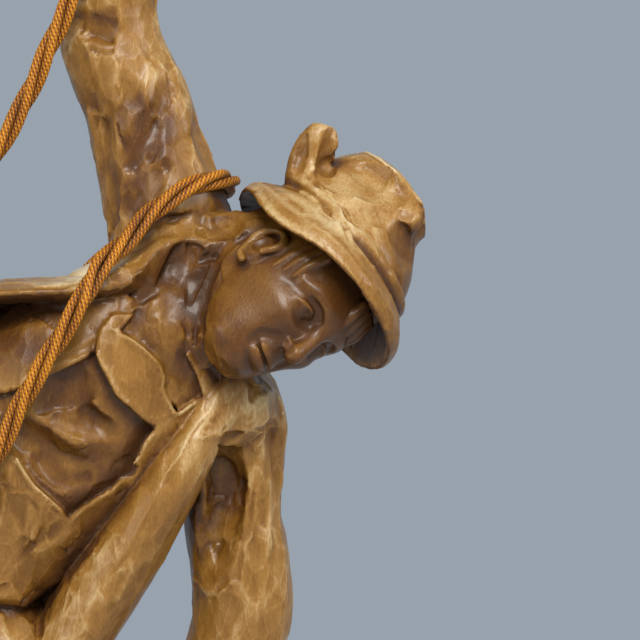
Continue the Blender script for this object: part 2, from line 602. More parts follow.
# The body as limbs: stations (x, y, z, half width, half depth), or one radius where both are the same.
figure = {
    "coarse": 1.3, "quickCoarse": 2.0, "low": (-113, -65, -3), "high": (130, 61, 436), "triangles": 190000,
    "trunk": [
        (-25, 9, 158, 31, 25), (-21, 8, 178, 31, 24), (-3, 6, 200.5, 33, 22), (14.5, 4, 219.5, 38, 24),
        (31, 4, 236, 37, 25), (46, 6, 246, 35, 21), (55, 7, 250, 24, 16),
    ],
    "back": [
        (-29, 16, 148, 41, 28), (-29, 14, 171, 41, 27), (-20.5, 11, 202.5, 43, 23), (-8, 10, 229.5, 46, 20),
        (16, 9, 245, 39, 20), (43, 9, 246, 30, 21), (56, 9, 249, 22, 16),
    ],
    "backTop": 268, "hipSide": (0.92, 0.27, -0.27), "chestSide": (0.42, 0.42, -0.8),
    "opening": [(-72, 128), (34, 128), (52, 186), (66, 228), (50, 262), (30, 276), (-30, 276), (-72, 236)],
    "flap": [
        (-63, 5, 176, 3.5, 21), (-65, 4, 194, 4, 22), (-62, 2, 212, 4, 23), (-54, -1, 231, 4, 24),
        (-40, -4, 248, 4, 25), (-20, -6, 261, 3.8, 26), (2, -8, 266.5, 3.4, 25), (19, -11, 267.5, 3.4, 22),
        (31, -13, 268, 4, 17), (42, -12, 272.5, 5, 12), (51, -8, 278.5, 6, 11), (60, -5, 282.5, 5.4, 9.5),
        (68, -3, 285.5, 4.5, 8),
    ],
    "leftFront": [
        (66, 2, 241, 8, 13), (60, -1, 227, 9, 15), (51.5, -3, 212, 10, 17), (42.5, -2, 197, 11, 18),
        (31, 1, 179, 12, 19), (20, 4, 161, 11, 19), (13, 7, 149, 9, 18),
    ],
    "rightSleeve": [
        (49, 6, 258, 18, 18), (52, 5, 270, 19.5, 18), (51.5, 4, 282, 19.5, 17), (49.5, 3, 292, 18.3, 16),
        (47, 3, 302, 17.2, 15.5), (44, 3, 312, 16.3, 15), (41, 4, 323, 16, 14.5), (35.5, 5, 335, 15.4, 14.5),
        (32.5, 5, 346, 15, 14.5), (34, 3, 360, 13.4, 13), (38.5, 0, 377, 11.8, 11.5), (42, -2, 391, 11.6, 11.4),
    ],
    "leftSleeve": [
        (64, 16, 240, 15, 15), (69, 18, 228, 16.5, 17), (70, 19, 214, 15, 17), (69.5, 19, 200, 14.6, 16),
        (71.5, 19, 184, 15, 15), (72, 20, 168, 15, 14), (66, 23, 152, 13.5, 13), (54, 26, 139, 12, 12),
        (43, 28, 129, 11.5, 11.5),
    ],
    "rightLeg": {
        "breeches": [(-34, 8, 176, 23), (-48, 1, 154, 22.5), (-65, -10, 129, 20), (-80, -19, 107, 17.5),
                     (-85, -17, 93, 17.5), (-84, -11, 82, 14)],
        "calf": [(-84, -12, 86, 11), (-82, -4, 68, 12), (-79, 5, 52, 9.5), (-77, 9, 40, 8.5)],
        "ankle": (-77, 11), "toe": (-0.35, -0.94), "sole": 31,
    },
    "leftLeg": {
        "breeches": [(-14, 13, 170, 23), (2, 5, 146, 22.5), (22, -6, 124, 20), (39, -14, 106, 17.5),
                     (43, -12, 94, 17.5), (42, -7, 83, 14)],
        "calf": [(42, -8, 87, 11), (40, 0, 70, 12), (38, 6, 54, 9.5), (36, 9, 42, 8.5)],
        "ankle": (36, 10), "toe": (0.3, -0.95), "sole": 33,
    },
    "rightFist": {"at": (46.5, -5, 410), "grip": (0.28, 0.02, 0.96), "knuckles": (-0.75, -0.66, 0)},
    "leftFist": {"at": (26, 31, 115), "grip": (0.03, 0.22, 0.97), "knuckles": (-0.9, 0.2, -0.3)},
    "shoulderFront": ((69, 5, 232), (13, 14, 12)),
    "lining": [(-40, 8, 236, 12, 6), (-14, 5, 249, 12, 7), (10, 3, 256, 9, 8), (28, 0, 259, 7, 9)],
    "collar": [(72, -7, 286, 5, 4), (64, -10, 281, 9, 4.5), (56, -13, 274, 12, 5), (50, -15, 264, 12, 5),
               (48, -16, 252, 9, 5), (46, -14, 240, 7, 4)],
    "throat": [(57, -7, 246, 9), (64, -12, 258, 9.5), (68.5, -13.5, 270, 9), (73, -11, 280, 7)],
    "wrists": [[(42, -2, 390, 7.5), (44.5, -3.5, 402, 7.5)], [(44, 28, 130, 7.5), (33, 30, 121, 7.5)]],
    "ropeGap": 0.25, "fineLow": (57, -61, 221), "fineHigh": (129, 36, 320),
    "plainFactor": 0.00002, "headKept": 0.88, "frontKept": 0.86,  # how much less the head and front are thinned
}


# A boot in its own measures: along the toe from the ankle, up from the sole, half width, half height.
boot = {
    "upper": [(-10, 9, 8.3, 10), (3, 10, 9.2, 12), (17, 7, 9.2, 9), (33, 4.5, 9.3, 6.6)],
    "shaft": [(-3, 10, 9.5, 9.5), (-2, 24, 10, 10), (-2, 28, 10.8, 10.8)],
    "sole": [(-15, 0, 9.5, 4), (-2, 0, 10.5, 4), (12, 0, 10, 4), (29, 0, 12.5, 4), (38, 0, 10, 4)],
}


# Three limbs: the upper, the shaft and a thick sole that stands out under them.
def carveBoot(block, leg):
    x, y = leg["ankle"]
    toe = unit(leg["toe"])
    sole = leg["sole"]
    across = (-toe[1], toe[0], 0)

    def row(measures):
        return [(x + toe[0] * d, y + toe[1] * d, sole + up, wide, deep) for d, up, wide, deep in measures]

    block.add(*block.limb(row(boot["upper"]), across), 2)
    block.add(*block.limb(row(boot["shaft"]), cap=3), 2.5)
    block.add(*block.limb(row(boot["sole"]), across), 0.6)


# The low rock: an oval mound whose size and tilt change by angle and height, with a step under each foot.
rock = {
    "halfLength": 110, "halfDepth": 59, "top": 25,
    "rows": [(0, 0.96), (6, 0.985), (15, 0.93), (22, 0.80), (25, 0.55)],  # up, size
    "steps": [(42, -3, 20, 33, 34), (-18, 14, 24, 19, 36), (-74, -4, 18, 30, 32)],  # middle, half sizes, top
    "stepRows": [(-30, 1.6), (-14, 1.4), (-6, 1.2), (-1.5, 0.98)],  # up from the step's top, size
    "chips": [(0.022, 3, 0.8), (0.016, 7, 0)],  # share of the size, chips round it, turn
}


# A mound lies inside the oval size(z) * (1 + chip(angle)) and under a top that falls off as 3 * out squared.
def carveRock(block):
    def mound(x0, y0, long, deep, rows, base, top, turn):
        wide, far = long * 1.5 + 12, deep * 1.5 + 12
        where, x, y, z = block.part((x0 - wide, y0 - far, base - 8), (x0 + wide, y0 + far, top + 12))
        x, y = (x - x0) / long, (y - y0) / deep
        angle = np.arctan2(y, x)
        chip = sum(share * np.sin(count * angle + start + turn) for share, count, start in rock["chips"])
        level, size = np.array(rows, float).T
        lean = z + 60 * chip * ramp(base, top, z)
        shape = np.interp(lean, level, size).astype(np.float32) * (1 + chip)
        out = np.sqrt(x * x + y * y)
        return where, block.evened(np.maximum((out - shape) * deep, z - top + 3 * out ** 2))

    block.add(*mound(0, 0, rock["halfLength"], rock["halfDepth"], rock["rows"], 0, rock["top"], 0), 0)
    for number, (x, y, long, deep, top) in enumerate(rock["steps"]):
        rows = [(top + up, size) for up, size in rock["stepRows"]]
        block.add(*mound(x, y, long, deep, rows, top - 22, top + 1.5, number + 1), 3)
    where, x, y, z = block.part((-200, -200, -20), (200, 200, 6))
    block.depth[where] = np.maximum(block.depth[where], -z)


# A hand in its own measures: along the grip, out to the knuckles, across to the finger tips, radius.
hand = {
    "palm": (11, 7.6, 8.2), "fingers": (-7.5, -2.6, 2.4, 7.2),
    "finger": [(4, -7, 2.9), (9, -3, 3.1), (9.2, 3.6, 2.9), (3.5, 8, 2.6)],
    "thumb": [(8, -3, 6, 3.4), (6, 1.5, 8.8, 3.3), (3, 5.4, 9.6, 3)],
}


# A closed fist round the rope: an egg for the palm, four bent fingers side by side, and the thumb over them.
def carveFist(block, fist):
    at = np.array(fist["at"], float)
    axis = unit(fist["grip"])
    out = np.array(fist["knuckles"], float)
    out = unit(out - axis * (out @ axis))
    across = np.cross(axis, out)

    def place(a, o, c, r):
        return (*(at + axis * a + out * o + across * c), r)

    block.add(*block.egg(at, (axis, out, across), hand["palm"]), 1.5)
    for along in hand["fingers"]:
        points = [place(along, *joint) for joint in hand["finger"]]
        block.add(*block.limb(points, axis, spacing=2, margin=6), 0.7)
    block.add(*block.limb([place(*joint) for joint in hand["thumb"]], axis, spacing=2, margin=6), 0.8)


# Legs, trunk, jacket and sleeves are limbs; the back is cut open in front over the waistcoat, and above.
def carveBody(block):
    for leg in (figure["rightLeg"], figure["leftLeg"]):
        block.add(*block.limb(leg["breeches"]), 5)
        block.add(*block.limb(leg["calf"]), 1.5)
    block.add(*block.limb(figure["trunk"], figure["hipSide"], figure["chestSide"]), 4)
    where, back = block.limb(figure["back"], figure["hipSide"], figure["chestSide"], 6, 1.5, 8)
    x, y, z = block.rows(where)
    back = np.maximum(back, -np.maximum(outline(figure["opening"], x, z), y - 3))
    back = np.maximum(back, z - figure["backTop"] - ramp(30, 50, x) * 40)
    block.add(where, back, 1)
    block.add(*block.limb(figure["flap"], (-0.35, 0, 0.94), spacing=2, margin=6), 1)
    block.add(*block.limb(figure["leftFront"], (0.86, 0.1, -0.5)), 1)
    block.add(*block.limb(figure["rightSleeve"], (1, 0, 0.2), cap=8), 2.5)
    block.add(*block.limb(figure["leftSleeve"], (1, 0, 0.1), cap=8), 2.5)
    block.add(*block.egg(figure["shoulderFront"][0], np.eye(3), figure["shoulderFront"][1], 14), 5)
    block.add(*block.limb(figure["lining"], (-0.35, 0, 0.94), spacing=2, margin=6), 2)
    for wrist in figure["wrists"]:
        block.add(*block.limb(wrist), 1)


# Fronts cut over the waistcoat: each plate is the trunk's own shape grown by a height inside an outline.
chest = {
    "low": (-40, -48, 160), "high": (92, 30, 276), "behind": 4,
    "plates": [  # height, edge softness, outline across and up
        (1.6, 0.5, [(43.5, 262.9), (48, 263.5), (54, 259), (60, 254), (60, 248), (48, 244.4), (42, 250),
                    (37.5, 254.6), (40.5, 259.5)]),
        (3.2, 0.4, [(46, 249), (55.5, 248), (60.2, 243), (61, 237.5), (57.4, 233), (54, 231), (51, 235), (49, 241)]),
        (3.0, 0.5, [(30, 251), (30, 248.8), (24.8, 246.4), (16.5, 242.6), (11.2, 239.2), (4, 236.4), (-10, 238),
                    (-34, 240), (-34, 266), (20, 266), (38, 266), (43.5, 262.9), (40.5, 259), (37.2, 254.8)]),
        (4.4, 0.4, [(41.2, 259.6), (37.2, 254.8), (42, 250.9), (45.8, 247.9), (48.8, 244.5), (49.9, 240.8),
                    (49.9, 237), (51.4, 233.2), (53.4, 229.5), (51, 226.6), (48, 225.6), (45, 227.6), (40.5, 231.8),
                    (36, 236.2), (33.8, 240.8), (31.5, 245.2), (30, 249.6), (31, 255), (35, 260)]),
        (4.6, 0.5, [(53.4, 229.5), (57, 232.1), (61.1, 235.1), (64.5, 233.5), (57.5, 225), (54, 217.5),
                    (49.5, 210.8), (46.5, 205.5), (42, 199.5), (34, 189), (24, 180), (13, 186), (18, 194.2),
                    (23.2, 201), (28.5, 204.8), (34.5, 208.5), (39.8, 213.8), (42.8, 218.2), (45, 223.5),
                    (47.6, 226.6)]),
        (5.6, 0.5, [(55.9, 248.2), (59.2, 249.6), (66.4, 247), (75, 243), (67.5, 236.6), (63.4, 232.4),
                    (61.1, 235.6), (59.6, 241.1)]),
        (4.2, 0.7, [(-24, 226), (-10, 231), (1, 229), (5.6, 220.5), (8.2, 214.2), (11.6, 209), (17, 203.8),
                    (21.6, 199.6), (25, 193), (23, 184), (8, 172), (-14, 176), (-26, 200)]),
    ],
    "rims": [  # half width, height, line
        (0.75, 0.9, [(36.4, 254.2), (41.6, 251.2), (45.8, 247.9), (48.9, 244.1), (49.9, 240.4), (50, 236.6),
                     (51.5, 232.9), (53.4, 229.9), (57, 232.4), (61.1, 235.3)]),
        (0.8, 0.8, [(47.6, 225.6), (44.9, 221.6), (42, 216.6), (38.8, 212), (33.8, 207.2), (28, 203.4),
                    (23.2, 199.9), (20.2, 196.2)]),
        (0.7, 0.5, [(30.4, 250.2), (31.9, 245), (34.2, 240.8), (36.5, 236.4), (41, 232.2), (45.2, 228)]),
        (0.9, 0.9, [(5.4, 221.5), (8.2, 214.6), (11.4, 209.2), (16.8, 204.2), (21.2, 200)]),
        (1.6, 1.0, [(9, 238), (11.2, 239.2), (16.5, 242.6), (24.8, 246.4), (29, 248.6)]),
        (0.7, 0.8, [(62.5, 231), (57.2, 223.6), (54, 217), (50.8, 212.4), (47.4, 205.8), (43.8, 199),
                    (39.4, 190.5), (33, 182)]),
        (1.0, 0.9, [(10.5, 207), (13.5, 203.2), (12.8, 198.8), (11.2, 194.2), (8, 188)]),
        (1.2, 0.8, [(4, 216), (5.5, 208), (4.4, 200), (1, 192)]),
        (0.55, 0.5, [(48, 261.4), (52.9, 258.2), (55.4, 254.2), (55.2, 249.6)]),
        (0.5, 0.5, [(46.6, 259.2), (50.6, 256.4), (52.6, 252.6)]),
        (0.7, 0.7, [(57.6, 222.8), (62.2, 223.3), (70.2, 223.2), (76.6, 218.4), (77.3, 211.5), (77, 205.5),
                    (76.4, 198), (75.4, 189)]),
    ],
    "grooves": [  # half width, depth, line
        (0.9, 1.7, [(49.4, 227), (46.5, 223.9), (43.7, 219), (40.9, 214.4), (35.6, 209.4), (29.6, 205.6),
                    (24.2, 202), (21.6, 199.6)]),
        (0.9, 1.4, [(29.2, 249.4), (30.6, 245), (32.8, 240.4), (35.2, 235.6), (39.8, 231), (44.4, 226.8), (47.4, 225)]),
        (0.35, 0.5, [(34.9, 240), (37.5, 239.4), (39.8, 239.1), (42, 238.2), (45, 238.3), (49.1, 237.4)]),
        (1.1, 1.2, [(51, 240.4), (51.8, 236.6), (53.4, 232.4), (55.4, 233), (58, 235.4)]),
        (0.8, 1.4, [(59.8, 246.5), (60.6, 241.5), (61.4, 237.4), (62.6, 234.2)]),
        (1.6, 2.2, [(7, 221), (9.4, 215.8), (12.8, 210.8), (18, 205.1), (22.5, 201)]),
        (1.2, 1.6, [(-6, 240), (0, 247.5), (4, 251.8), (8.1, 255), (18, 258.6)]),
        (2.4, 1.3, [(60, 229), (56.4, 224.6), (53, 217.6), (48.6, 210.8), (45.4, 205.5), (41, 199.6),
                    (35.2, 191.5), (28, 183)]),
        (0.5, 0.7, [(44.3, 262.4), (42, 259.6), (39.8, 256.6), (37.8, 254.8)]),
        (0.6, 0.9, [(44.5, 250.2), (48.3, 247.2), (52, 247.4), (55.4, 248.8)]),
        (0.4, 0.5, [(49.2, 245.8), (52, 246.2), (55, 245.8)]),
        (1.5, 1.1, [(14.6, 199), (17.4, 195.6), (18.6, 190)]),
        (2.2, 1.2, [(7.6, 205), (8.6, 199), (6, 191)]),
        (2.0, 1.0, [(1.5, 210), (1.8, 203), (-1, 195)]),
    ],
    "sinks": [  # depth, edge width, outline: the hollow inside the bent arm
        (4.2, 1.8, [(57, 220.6), (62.2, 221.4), (70.5, 221.4), (75, 217.5), (75.8, 211.5), (75.4, 205.5),
                    (75, 198), (74, 186), (66, 186), (68.4, 196), (66, 203), (59, 206), (54.4, 201), (49, 190),
                    (44, 186), (48.6, 202), (52.8, 212)]),
    ],
    "deepest": (14, 8),  # how far behind the front the lines fade out
    "buttons": [(-0.2, 234), (1, 229.2), (-5, 219), (-8, 208), (-11, 196)], "buttonSize": 2.1,
}


# Distance across the front to a smooth line of (across, up) points, and how far along it runs, 0 to 1.
def lineAway(line, x, z):
    p = smoothLine([(a, 0, b) for a, b in line], 1.2)[:, [0, 2]]
    best = np.full(np.broadcast(x, z).shape, 1e9, np.float32)
    along = np.zeros(best.shape, np.float32)
    for i, ((ax, az), (bx, bz)) in enumerate(zip(p[:-1], p[1:])):
        ex, ez = bx - ax, bz - az
        t = np.clip(((x - ax) * ex + (z - az) * ez) / (ex * ex + ez * ez), 0, 1)
        away = (x - ax - ex * t) ** 2 + (z - az - ez * t) ** 2
        along = np.where(away < best, (i + t) / (len(p) - 1), along)
        best = np.minimum(best, away)
    return np.sqrt(best), along


# A raised or sunk line: full height on the line, gone at its half width, fading at both ends.
def lineRelief(width, height, line, x, z):
    away, along = lineAway(line, x, z)
    return height * ramp(width * 1.5, width * 0.35, away) * ramp(0, 0.1, along) * ramp(1, 0.9, along)


# Adds the plates, then moves the front in and out by the sinks, grooves and rims, and sets the buttons on it.
def carveChest(block, vest):
    where, x, y, z = block.part(vest.low, vest.top())
    behind = y - chest["behind"]
    for height, soft, points in chest["plates"]:
        edge = outline(points, x, z)
        block.add(where, -smoothLow(-np.maximum(vest.depth - height, behind), -edge, soft), 0.4)
    relief = np.zeros(np.broadcast(x, z).shape, np.float32)
    for depth, width, points in chest["sinks"]:
        relief -= depth * ramp(0, -width, outline(points, x, z))
    for width, depth, line in chest["grooves"]:
        relief -= lineRelief(width, depth, line, x, z)
    for width, height, line in chest["rims"]:
        relief = np.maximum(relief, relief * 0.5 + lineRelief(width, height, line, x, z))
    inside = block.depth[where] < 0
    face = y[:, :1] + block.step * inside.argmax(axis=1, keepdims=True)
    face = np.where(inside.any(axis=1, keepdims=True), face, 200)
    block.depth[where] -= relief * ramp(*chest["deepest"], y - face)
    size = chest["buttonSize"]
    for bx, bz in chest["buttons"]:
        by = block.front([bx], [bz])[0]
        block.add(*block.egg((bx, by + 0.6, bz), np.eye(3), (size, size * 0.75, size)), 0.2)


# Long cuts of the round gouge over sleeves, collar and neck, and bars left standing between them: radius,
# depth or height, line across and up.
cuts = {
    "gouge": [
        (1.5, 1.7, [(74.5, 283.4), (67, 278.6), (59, 274.6), (53.5, 270), (46.5, 265.8), (41, 262.3)]),
        (1.0, 1.2, [(73, 285.6), (66.6, 279.9), (62.8, 271.3), (60.6, 264.5), (59.4, 257.4), (58.8, 251)]),
        (8, 2.4, [(50.6, 326), (49.8, 321.9), (48, 318.3), (46.2, 314.1), (44.7, 310.5), (43.8, 306.9), (43.2, 302.1)]),
        (20, 1.1, [(30, 326), (30, 321.3), (32.1, 315.9), (33.7, 309.9), (35.4, 303.9), (36, 297.9)]),
        (16, 1.2, [(28.2, 322), (28.2, 318.3), (30, 312.9), (30.6, 307.5), (32.1, 301.5), (32.4, 296.1)]),
        (18, 1.0, [(39.6, 326), (39.6, 320.7), (39.6, 314.7), (40.2, 308.7), (39.6, 302.7)]),
        (12, 1.3, [(53.4, 320.7), (54, 314.7), (52.8, 308.7)]),
        (14, 1.5, [(57.6, 322), (59.4, 316.5), (60.9, 310.5), (62.7, 305.1)]),
        (9, 1.0, [(49.2, 304.5), (48, 301.5), (51.6, 302.1), (54, 301)]),
        (14, 1.0, [(45, 297.9), (40.8, 293.1), (37.8, 288.3)]),
        (12, 1.2, [(34.8, 296.9), (33.7, 289.5), (32.4, 283.5), (29.4, 278.7)]),
        (0.8, 0.6, [(35.6, 316), (36.6, 311.5), (38.2, 307), (39.8, 302.5), (40.4, 296)]),
        (9, 1.1, [(51.6, 284.3), (56.4, 285.1), (61.2, 286.1)]),
        (8, 1.0, [(62, 285), (67.8, 285.4), (71.4, 286)]),
        (7, 0.9, [(50.4, 280.5), (51, 276.3), (48, 272.7)]),
        (9, 1.3, [(59.6, 281), (54.8, 277.5), (50.2, 273.5), (45, 269.8)]),
        (3.5, 1.2, [(69, 280.5), (65.4, 275.1), (62.6, 269.7), (61, 261.9), (60.6, 256)]),
        (13, 1.2, [(57, 275.1), (54.4, 269.1), (51.6, 263.1)]),
        (5.5, 2.6, [(17.6, 230.4), (21, 229.4), (24.8, 228), (30, 225.8), (34.4, 224.4)]),
        (6.5, 3.4, [(7.6, 226), (10.4, 223), (12.8, 221.2), (18, 217.1), (23.2, 214.9), (28.4, 214)]),
        (3.6, 2.2, [(20.6, 237.8), (25.4, 233.2), (31, 227.4)]),
        (4.6, 1.8, [(12.6, 215.6), (20, 210), (27.6, 210.4)]),
        (14, 1.0, [(14, 236), (20, 237.4), (27, 240)]),
        (11, 1.0, [(26, 219.6), (32, 218), (37, 216)]),
        (8, 1.6, [(44.4, 279.9), (42, 275.1), (37.8, 270.9), (33.6, 267.9)]),
        (9, 1.2, [(80, 230), (82.4, 220), (81.6, 208)]),
        (9, 5.5, [(66.5, 217), (66.5, 206), (65, 196), (63, 186)]),
        (6, 1.6, [(66, 214), (67.4, 207), (66.2, 200)]),
        (5, 1.6, [(71.6, 214.4), (71.8, 206), (70.8, 198)]),
        (6, 1.8, [(12, 352), (24, 346), (35, 343)]),
    ],
    "ridge": [
        (2.6, 1.6, [(74, 286.2), (66, 281.8), (58, 278), (52, 273.4), (45, 269), (38, 266.6)]),
        (2.2, 1.0, [(69.6, 284), (66.6, 277.5), (61.2, 270.9), (58.6, 262)]),
        (1.2, 0.9, [(64.6, 216), (70.4, 213), (66, 206.4), (67.6, 200)]),
    ],
}


# The head in its own measures: oval rows up its height, then forms set on the face by how far across and
# up they lie, how high they stand over the oval, and how round they are.
head = {
    "at": (86, -13, 265),
    "neck": [(47, 2, 254, 17, 15), (60, -2, 260, 14.5, 14)], "neckTop": (0, -7, -8, 15, 15),
    "rows": [  # up, middle across, middle towards the face, half width, half depth
        (-29.5, 0, 9.2, 2, 2), (-28, 0, 9, 6, 5.5), (-25.5, 0, 7.8, 9.6, 9.4), (-22, 0, 5.8, 12.4, 12.8),
        (-16, 0, 3, 15.2, 16.8), (-8, 0, 1, 17.8, 20.3), (0, 0, 0, 18.9, 22), (9, 0, -1.6, 19.6, 23.4),
        (18, 0, -3, 17, 21), (25, 0, -3, 10, 13), (29, 0, -3, 2, 3),
    ],
    "swells": [  # up, across, rise, tall, broad
        (-5.5, 11, 1.5, 4.2, 4.6), (-15.5, 0, 1.3, 5, 7), (-24.5, 0, 1.6, 3.2, 5.4), (-12, 15, -0.8, 5, 3),
        (8, 6, 0.7, 4, 6), (3, 16.5, -1.0, 5, 3), (-20.4, 0, -0.7, 1.7, 5),
    ],
    "sockets": (7.8, 0.2, 0.8, (5.4, 2.6, 3.6)),
    "eyes": (7.8, -0.1, 4.6, 1.2),
    "lids": [
        (0.85, 0.55, [(3.4, -1.2), (4.8, 0.6), (7.2, 1.9), (9.8, 1.5), (12.3, -0.7)]),
        (0.75, 0.4, [(3.4, -1.2), (5.4, -2.3), (7.9, -2.8), (10.3, -2.2), (12.3, -0.7)]),
    ],
    "brow": [(2.2, 4.4, 0.5, 2.0), (5.6, 6.0, 1.1, 2.2), (9.8, 6.3, 0.9, 2.1), (14.2, 3.8, 0.2, 1.7)],
    "nose": [(0, 5.6, 0.9, 2.8), (0, 1.6, 2.0, 2.2), (0, -3.2, 3.9, 2.3), (0, -7.6, 5.7, 2.8)],
    "tip": (0, -8.2, 6.0, (2.9, 2.8, 2.7)), "wing": (3.1, -9.0, 3.2, (2.1, 2.6, 2.1)),
    "nostril": (1.7, -10.9, 3.1, (0.9, 1.4, 0.8)),
    "upperLip": [(-6.4, -15.8, 0.5, 1.2), (-3.2, -15.0, 1.6, 1.6), (-1.1, -14.5, 2.0, 1.6), (0, -14.7, 1.8, 1.6),
                 (1.1, -14.5, 2.0, 1.6), (3.2, -15.0, 1.6, 1.6), (6.4, -15.8, 0.5, 1.2)],
    "lowerLip": [(-5.2, -17.0, 0.7, 1.3), (-2.6, -18.0, 1.8, 1.9), (0, -18.3, 2.1, 2.0),
                 (2.6, -18.0, 1.8, 1.9), (5.2, -17.0, 0.7, 1.3)],
    "mouth": [(-6.8, -15.9, 0.9), (-3.4, -16.3, 1.3), (0, -16.3, 1.5), (3.4, -16.3, 1.3), (6.8, -15.9, 0.9)],
    "furrows": [  # radius, depth, line across and up, on both sides
        (2.4, 0.8, [(4.4, -9.8), (6.8, -12.4), (8.0, -15.0), (7.6, -17.4)]),
        (1.0, 0.7, [(4.2, 2.6), (7.4, 3.9), (11, 3.0)]),
    ],
    "earRim": [  # across, towards the face, up, radius
        (20.4, 0.6, -2.6, 1.15), (20.4, 2.0, 1.2, 1.15), (20.4, 1.0, 4.4, 1.15), (20.4, -2.6, 5.4, 1.15),
        (20.4, -6.0, 3.4, 1.15), (20.4, -7.0, -0.6, 1.15), (19.8, -5.8, -4.6, 1.15), (19.8, -3.4, -8.4, 1.15),
        (19.8, -1.0, -8.6, 1.15),
    ],
    "ear": ((18.4, -3, -2.6), (2.4, 4.6, 6.6)), "earHollow": ((21.6, -2.4, -1.4), (2.2, 2.5, 3.9)),
    "hair": [  # middle of each patch and its half sizes, across, towards the face, up
        ((15.6, 4.6, 7.4), (3.6, 8.4, 9.6)), ((-15.6, 4.6, 7.4), (3.6, 8.4, 9.6)), ((0, -16, -5), (15, 8, 14)),
        ((11, -16, 3), (8, 9, 10)),
    ],
    "locks": [  # lines of (across, towards the face, up, radius) for strands that lie side by side
        [(16.6, 12, 13, 1.5), (17.0, 11.8, 6, 1.2), (16.4, 12, 1.6, 0.4)],
        [(17.4, 9.4, 13, 1.5), (18.0, 9, 6, 1.4), (17.6, 9, 0.4, 0.5)],
        [(17.8, 6.6, 13, 1.5), (18.6, 6, 6, 1.4), (18.4, 6, -1.6, 0.5)],
        [(18.0, 3.8, 13, 1.5), (18.8, 3.2, 7, 1.3), (18.6, 3, 1.4, 0.8)],
        [(1, 20.4, 17, 1.8), (0, 21.2, 12, 1.7), (-2.4, 21.6, 6.4, 0.4)],
        [(-2, 20.2, 17, 1.8), (-3.4, 20.8, 12, 1.8), (-6.2, 20.8, 6, 0.4)],
        [(-5, 19.6, 17, 1.8), (-6.8, 20, 12, 1.8), (-9.6, 19.0, 6.4, 0.4)],
        [(-8, 18.4, 17, 1.8), (-10, 18.4, 12, 1.7), (-12.8, 16.6, 7.2, 0.4)],
    ],
}


# The head's middle + ear, face and up along its own three ways.
def headPoint(ear, face, up):
    return np.array(head["at"]) + nearEar * ear + faceOut * face + headUp * up


# The oval's front at a place on the face: middle + half depth * sqrt(1 - (across / half width) squared).
def facePoint(across, up, height=0.0):
    rows = smoothLine(head["rows"], 0.5)
    middle, wide, deep = [np.interp(up, rows[:, 0], rows[:, k]) for k in (2, 3, 4)]
    return headPoint(across, middle + deep * math.sqrt(1 - (across / wide) ** 2) + height, up)


# The neck and throat are limbs, with the collar laid round them.
def carveNeck(block):
    neckTop = (*headPoint(*head["neckTop"][:3]), *head["neckTop"][3:])
    block.add(*block.limb(head["neck"] + [neckTop], (-0.4, 0, 0.9), spacing=1.5), 3)
    block.add(*block.limb(figure["throat"], spacing=2, margin=6), 3)
    block.add(*block.limb(figure["collar"], (0.82, 0, -0.57), spacing=1.5, margin=6), 1)


# A cut along a line on the face: each point goes out to the wood's last layer, then in by the faded depth.
def furrow(block, line, radius, depth):
    points = smoothLine(line, 1)
    steps = np.linspace(-4, 7, 45)
    reach = points[:, None] + faceOut * steps[None, :, None]
    inside = block.at(reach.reshape(-1, 3)).reshape(len(points), -1) < 0
    last = len(steps) - 1 - inside[:, ::-1].argmax(axis=1)
    fade = np.sin(math.pi * np.linspace(0.08, 0.92, len(points))) ** 0.7
    middle = points + faceOut * (steps[last] + radius - depth * fade)[:, None]
    stations = np.hstack((middle, np.full((len(middle), 1), radius)))
    block.cut(*block.limb(stations, headSide, spacing=1, margin=3), 1.0)


